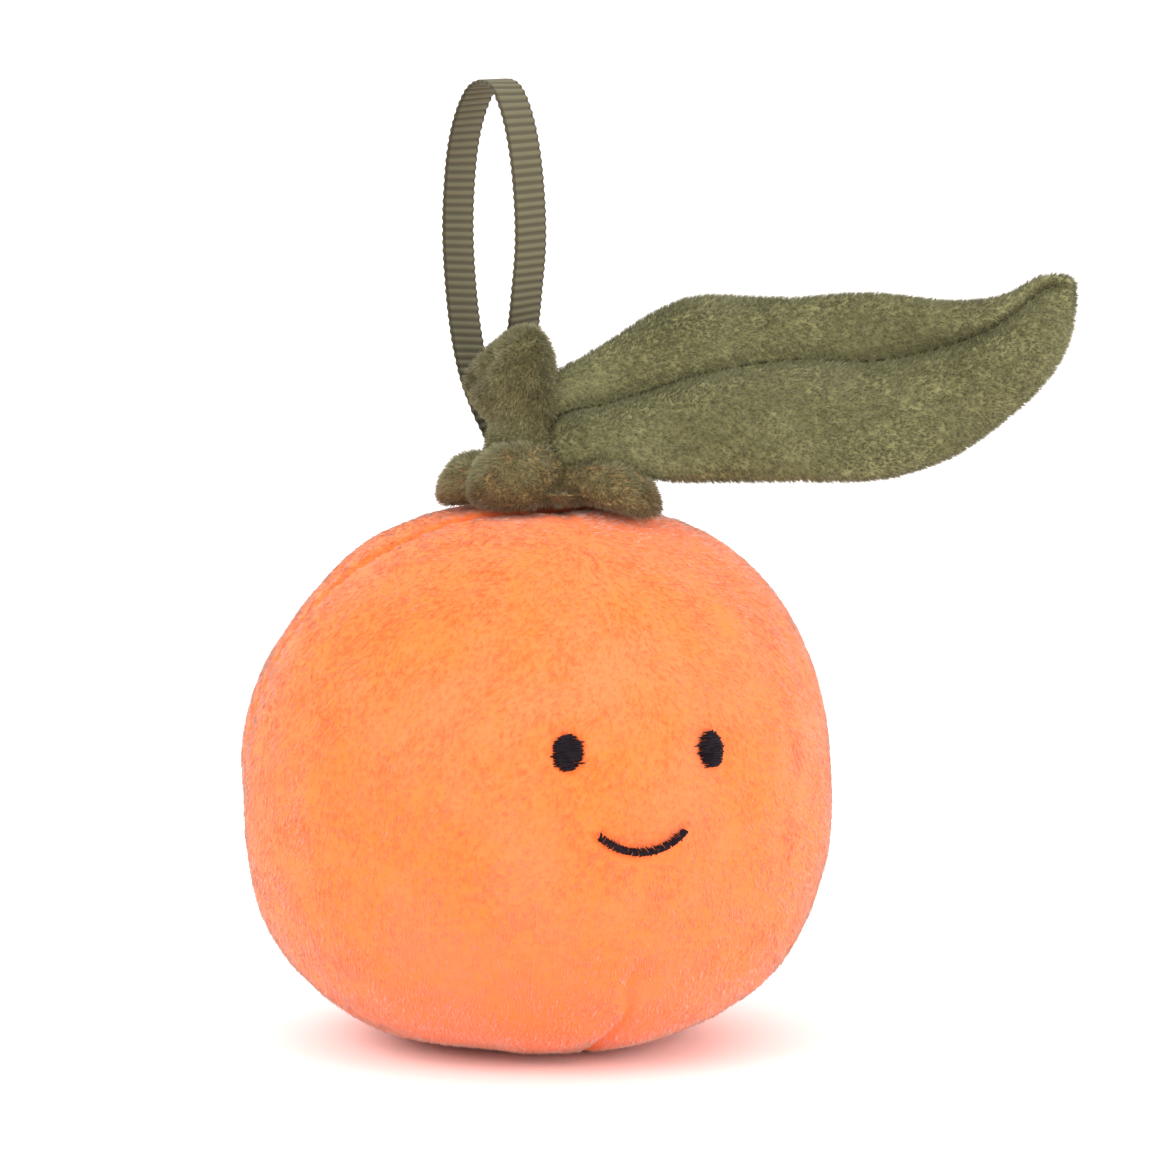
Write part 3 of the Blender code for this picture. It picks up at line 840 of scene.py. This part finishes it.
def leafPoint(route, s, turn):
    # turn goes round the cross-section: its cosine runs between the edges, its sine chooses the layer
    along, low, vein, high = (route[:, k][:, None] for k in range(4))
    s = s[:, None]
    lean = math.radians(leaf["lean"]) + 0.10 * np.sin(4.0 * s + 0.4)
    across = np.cos(turn)[None, :]
    face = np.sin(turn)[None, :]
    cosine = np.cos(lean)
    blunt = np.sqrt(np.clip(1 - np.clip((s - 0.955) / 0.045, 0, 1) ** 2.2, 0, 1))
    reach = across * np.where(across > 0, high - vein, vein - low) / cosine * (0.25 + 0.75 * blunt)
    swell = np.clip(0.55 + 3.0 * s, 0, 1) * blunt * np.clip((1.06 - s) / 0.30, 0, 1) ** 0.5
    pinch = leaf["veinPinch"] * bell(reach, leaf["veinWide"])
    pinch = pinch + leaf["hollow"] * bell(reach, leaf["hollowWide"])
    pinch = 1 - pinch * np.clip((1.02 - s) * 12, 0, 1)
    puff = np.sign(face) * np.abs(face) ** 0.8 * leaf["half"] * swell * pinch
    edge, long, slant = leaf["edgeWave"], leaf["longWave"], leaf["slantWave"]
    wave = edge[0] * np.sin(edge[1] * s + edge[2]) * np.abs(across) ** 1.5
    wave = wave + long[0] * np.sin(long[1] * s + long[2])
    wave = wave + slant[0] * np.sin(slant[1] * s + slant[2] * across)
    offset = puff + wave
    rise = reach * cosine + offset * np.sin(lean)
    depth = reach * np.sin(lean) - offset * cosine
    return toRow(along + 0 * reach, depth, vein + rise)


def buildLeaf():
    rows, columns = leaf["rows"], leaf["columns"]
    route = smoothRoute(leaf["stations"], rows)
    turn = fullTurn(columns)
    rings = leafPoint(route, np.linspace(0, 1, rows), turn)
    piece = closedPiece("leafPad", rings, leafCloth)
    held = np.zeros((rows, columns))
    held[:, np.abs(np.sin(turn)) < 0.08] = 1.0
    held[:, np.abs(np.cos(turn)) < 0.10] = 1.0
    held[:3] = 1.0
    inflate(piece, held, (1.0, 1.0), 3.0, 0.0008, 12)
    return piece


leafPad = buildLeaf()
belong([leafPad], ["leaf_upper", "leaf_lower"])


def buildLeafPile():
    roots, normals = scatter([leafPad], leaf["spikes"], 14)
    comb = np.tile(side - 0.25 * up, (len(roots), 1))
    return growPile(["leafPile1", "leafPile2"], roots, normals, comb, leafPileLook, leafFibres, 24)


belong(buildLeafPile())
print("leaf made", flush=True)


def threads(name, paths, radius, material, sides=6):
    # paths: threads x points x 3; a round thread along each, with rounded ends
    count, length = paths.shape[:2]
    heading = unit(np.gradient(paths, axis=1))
    guide = unit(paths.mean((0, 1)) * np.array([1, 1, 0]) + 1e-9)
    first = unit(np.cross(heading, guide))
    second = np.cross(heading, first)
    turn = fullTurn(sides)
    taper = np.ones(length)
    taper[[0, -1]] = 0.35
    shape = np.cos(turn)[:, None] * first[:, :, None] + np.sin(turn)[:, None] * second[:, :, None]
    tube = paths[:, :, None] + shape * (radius * taper)[None, :, None, None]
    end = heading * radius * 0.4
    poles = np.stack([paths[:, 0] - end[:, 0], paths[:, -1] + end[:, -1]], 1)
    quads, caps = ringFaces(length, sides)
    size = length * sides + 2
    points = np.concatenate([poles[:, :1], tube.reshape(count, -1, 3), poles[:, 1:]], 1)
    shift = (np.arange(count) * size)[:, None, None]
    return makePiece(name, points, (quads + shift).reshape(-1, 4), (caps + shift).reshape(-1, 3), material)


embroidery = {
    "thread": 0.00013, "pitch": 0.00019, "ragged": 0.00022, "arch": 0.00045, "dome": 0.00035, "layers": 2,
    "smilePitch": 0.00017, "smileArch": 0.00080,
}


def buildEye(name, turn, middle, seed):
    # level satin stitches laid side by side from edge to edge of an oval, in two layers
    draw = np.random.default_rng(seed)
    rows = int(face["eyeTall"] / embroidery["pitch"]) * embroidery["layers"]
    level = (np.arange(rows) + 0.5) / rows * 2 - 1 + draw.normal(0, 0.012, rows)
    level = np.clip(level, -0.985, 0.985)
    half = face["eyeWide"] / 2 * np.sqrt(1 - level**2)
    left = -half - draw.exponential(embroidery["ragged"], rows) * 0.8
    right = half + draw.exponential(embroidery["ragged"], rows) * 0.8
    t = np.linspace(0, 1, 9)[None, :]
    across = left[:, None] * (1 - t) + right[:, None] * t
    slope = draw.normal(0.00005, 0.00012, rows)[:, None] * (t - 0.5) * 2
    height = middle + level[:, None] * face["eyeTall"] / 2 + slope
    bow = 1 - np.abs(2 * t - 1) ** 2.5
    layer = (np.arange(rows) % embroidery["layers"])[:, None] * 0.00012
    lift = -face["sunk"] + bow * (embroidery["arch"] + layer + draw.uniform(0, 0.00008, rows)[:, None])
    dome = embroidery["dome"] * np.sqrt(np.clip(1 - level[:, None] ** 2 * 0.8, 0, 1))
    paths = onSkin(turn + across / face["radius"], height, lift + dome * bow)
    return threads(name, paths, embroidery["thread"], darkThread)


def buildSmile():
    # satin stitches square to an arc, a little ragged at both edges
    draw = np.random.default_rng(33)
    reach = math.radians(face["smileReach"])
    count = int(2 * reach * face["smileRadius"] / embroidery["smilePitch"])
    arc = np.linspace(-reach, reach, count)[:, None] + draw.normal(0, 0.006, (count, 1))
    t = np.linspace(-1, 1, 7)[None, :]
    half = face["smileWide"] / 2 * (0.88 + draw.exponential(0.12, (count, 1)))
    lean = draw.normal(0.01, 0.012, (count, 1)) * t
    radius = face["smileRadius"] + t * half
    across = radius * np.sin(arc + lean)
    height = face["smileLow"] + face["smileRadius"] - radius * np.cos(arc + lean)
    arch = (1 - np.abs(t) ** 2.2) * embroidery["smileArch"]
    lift = -face["sunk"] + arch + draw.uniform(0, 0.0001, (count, 1))
    turn = math.radians(face["smileTurn"]) + across / face["radius"]
    return threads("smileStitches", onSkin(turn, height, lift), embroidery["thread"], darkThread)


for k, name in enumerate(("left", "right")):
    eye = buildEye(name + "Eye", math.radians(face["eyeTurns"][k]), face["eyeHeights"][k], 31 + k)
    belong([eye], [name + "_eye"])
belong([buildSmile()], ["smile"])

veinLook = {
    "stitches": 46, "from": 0.03, "to": 0.93, "halfStitch": 0.0068, "lift": 0.00042, "dip": 0.0009,
    "radius": 0.00022,
}


def buildVein():
    # a running stitch down the groove of the leaf's face: each stitch dips into the cloth at its ends
    count = veinLook["stitches"]
    span = np.linspace(veinLook["from"], veinLook["to"], count)
    t = np.linspace(-1, 1, 7)
    s = (span[:, None] + t[None, :] * veinLook["halfStitch"]).ravel()
    dense = smoothRoute(leaf["stations"], 400)
    route = np.stack([np.interp(s, np.linspace(0, 1, 400), dense[:, k]) for k in range(4)], -1)
    dip = np.tile(veinLook["lift"] - veinLook["dip"] * np.abs(t) ** 3, count)
    middle = leafPoint(route, s, np.array([math.pi / 2]))[:, 0]
    lean = math.radians(leaf["lean"])
    normal = math.sin(lean) * up - math.cos(lean) * back
    paths = (middle + normal * dip[:, None]).reshape(count, 7, 3)
    return threads("leafVeinStitches", paths, veinLook["radius"], oliveThread)


belong([buildVein()], ["leaf_vein_stitches"])
print("threads made", flush=True)

ribbon = {
    # the middle of the band: up behind the stem, over the top and down on the nearer side
    "route": [
        (-0.0042, 0.0084, 0.0822), (-0.0052, 0.0092, 0.0858), (-0.0072, 0.0104, 0.0900),
        (-0.0090, 0.0128, 0.0950), (-0.0105, 0.0160, 0.1030), (-0.0113, 0.0184, 0.1140),
        (-0.0109, 0.0186, 0.1240), (-0.0098, 0.0170, 0.1306), (-0.0079, 0.0138, 0.1354),
        (-0.0058, 0.0105, 0.1368), (-0.0039, 0.0074, 0.1356), (-0.0022, 0.0051, 0.1308),
        (-0.0011, 0.0040, 0.1236), (-0.0007, 0.0042, 0.1145), (-0.0014, 0.0060, 0.1055),
        (-0.0021, 0.0086, 0.0985), (-0.0024, 0.0098, 0.0920), (-0.0026, 0.0098, 0.0858),
        (-0.0028, 0.0092, 0.0822),
    ],
    "width": 0.0054, "thick": 0.00042, "turn": -54.0,
    "rib": 0.0012, "ribHigh": 0.00013, "scallop": 0.022, "perRib": 8,
}


def ribbonMaterial(ribs):
    # darker woven edges, and painted shade in the grooves between the ribs, read from the band's own map:
    # its first axis runs across the band and its second along it
    material, shader = newMaterial("grosgrain", (0.10, 0.09, 0.05), 0.6, 0.1)
    link = material.node_tree.links.new
    place = addNode(material, "ShaderNodeUVMap", uv_map="OFBake")
    split = addNode(material, "ShaderNodeSeparateXYZ")
    link(place.outputs["UV"], split.inputs["Vector"])
    # painted shade: darkest where the band's ribs dip into grooves, lightest on their crests
    turns = calculate(material, "MULTIPLY", split.outputs["Y"], 2 * math.pi * ribs)
    wave = calculate(material, "MULTIPLY_ADD", calculate(material, "COSINE", turns), 0.5, 0.5)
    colour = colourRamp(material, wave, [(0.15, (0.070, 0.061, 0.034)), (0.75, (0.120, 0.108, 0.060))])
    across = calculate(material, "ABSOLUTE", calculate(material, "SUBTRACT", split.outputs["X"], 0.5))
    border = colourRamp(material, across, [(0.40, (1, 1, 1)), (0.46, (0.5, 0.49, 0.44))])
    link(product(material, colour, border), shader.inputs["Base Color"])
    return material


def ribbonPath(count):
    # points evenly spaced along the route
    dense = toRow(*smoothRoute(ribbon["route"], 1600).T)
    run = np.concatenate([[0], np.cumsum(np.linalg.norm(np.diff(dense, axis=0), axis=1))])
    even = np.linspace(0, run[-1], count)
    return np.stack([np.interp(even, run, dense[:, k]) for k in range(3)], -1), float(run[-1])


def buildRibbon():
    # a flat band whose two faces rise and fall in ribs and whose edges scallop with them
    ribs = round(ribbonPath(800)[1] / ribbon["rib"])
    count = ribs * ribbon["perRib"] + 1
    path, length = ribbonPath(count)
    heading = unit(np.gradient(path, axis=0))
    turn = math.radians(ribbon["turn"])
    out = side * math.cos(turn) + back * math.sin(turn)
    flat = np.cross(up, out)
    normal = unit(np.cross(flat, heading))
    width = np.cross(heading, normal)
    rib = np.cos(2 * math.pi * ribs * np.linspace(0, 1, count))
    across = np.array([-1, -0.96, -0.88, -0.6, -0.2, 0.2, 0.6, 0.88, 0.96, 1])
    rise = ribbon["thick"] / 2 * np.array([0.35, 0.8, 1, 1, 1, 1, 1, 1, 0.8, 0.35])
    groove = np.where(np.abs(across) < 0.9, 1.0, 0.4)
    half = ribbon["width"] / 2 * (1 + ribbon["scallop"] * rib)
    middle = path[:, None] + width[:, None] * (across[None, :] * half[:, None])[..., None]
    lift = rise[None, :] + ribbon["ribHigh"] * rib[:, None] * groove[None, :]
    top = middle + normal[:, None] * lift[..., None]
    bottom = middle - normal[:, None] * lift[..., None]
    rings = np.concatenate([top, bottom[:, ::-1]], axis=1)
    piece = closedPiece("ribbonLoop", rings, ribbonMaterial(ribs))
    u = np.concatenate([across, across[::-1]]) * 0.5 + 0.5
    v = np.linspace(0, 1, count)
    places = np.stack(np.broadcast_arrays(u[None, :], v[:, None]), -1).reshape(-1, 2)
    places = np.vstack([[0.5, 0], places, [0.5, 1]])
    layFlat(piece, places)
    return piece, path[:: ribbon["perRib"] // 2], length


ribbonLoop, ribbonLine, ribbonLength = buildRibbon()
belong([ribbonLoop], ["ribbon_loop"])
print("ribbon made,", round(ribbonLength * 1000, 1), "mm long", flush=True)


def buildStage():
    floorMaterial, shader = newMaterial("paleFloor", (0.98, 0.93, 0.93), 0.7)
    shader.inputs["Specular IOR Level"].default_value = 0.1
    reach = 8.0
    corners = [(-reach, -reach, 0), (reach, -reach, 0), (reach, reach, 0), (-reach, reach, 0)]
    floor = makePiece("floor", np.array(corners), np.array([[0, 1, 2, 3]]), None, floorMaterial)


def buildLight(name, along, depth, height, size, power):
    # a soft square light, aimed at the middle of the toy
    lamp = bpy.data.lights.new(name, "AREA")
    lamp.shape = "SQUARE"
    lamp.size = size
    lamp.energy = power
    light = bpy.data.objects.new(name, lamp)
    bpy.context.collection.objects.link(light)
    place = Vector(toRow(along, depth, height))
    light.location = place
    light.rotation_euler = (Vector((0, 0, 0.05)) - place).to_track_quat("-Z", "Y").to_euler()


def buildCamera():
    # a long lens at the height and bearing set at the top
    pitch = math.radians(sprig["cameraHeight"])
    target = toRow(0.0065, 0.0, 0.0662)
    look = back * math.cos(pitch) - up * math.sin(pitch)
    lens = bpy.data.cameras.new("camera")
    lens.sensor_width = 36.0
    lens.lens = 36.0 * sprig["cameraDistance"] / sprig["pictureWidth"]
    lens.clip_end = 50
    camera = bpy.data.objects.new("camera", lens)
    bpy.context.collection.objects.link(camera)
    camera.location = Vector(target - look * sprig["cameraDistance"])
    camera.rotation_euler = Vector(look).to_track_quat("-Z", "Y").to_euler()
    bpy.context.scene.camera = camera


def buildWorld():
    world = bpy.data.worlds.new("softWhite")
    world.use_nodes = True
    sky = world.node_tree.nodes["Background"]
    sky.inputs["Color"].default_value = (1, 1, 1, 1)
    sky.inputs["Strength"].default_value = 1.45
    bpy.context.scene.world = world
    bpy.context.scene.view_settings.view_transform = "Standard"


buildStage()
buildLight("overhead", 0.0, 0.1, 1.1, 1.2, 1.5)
buildLight("leftFront", -0.9, -0.8, 0.9, 0.8, 8.0)
buildLight("rightFront", 1.0, -0.7, 0.4, 0.8, 7.0)
buildCamera()
buildWorld()
print("stage, lights and camera made", flush=True)
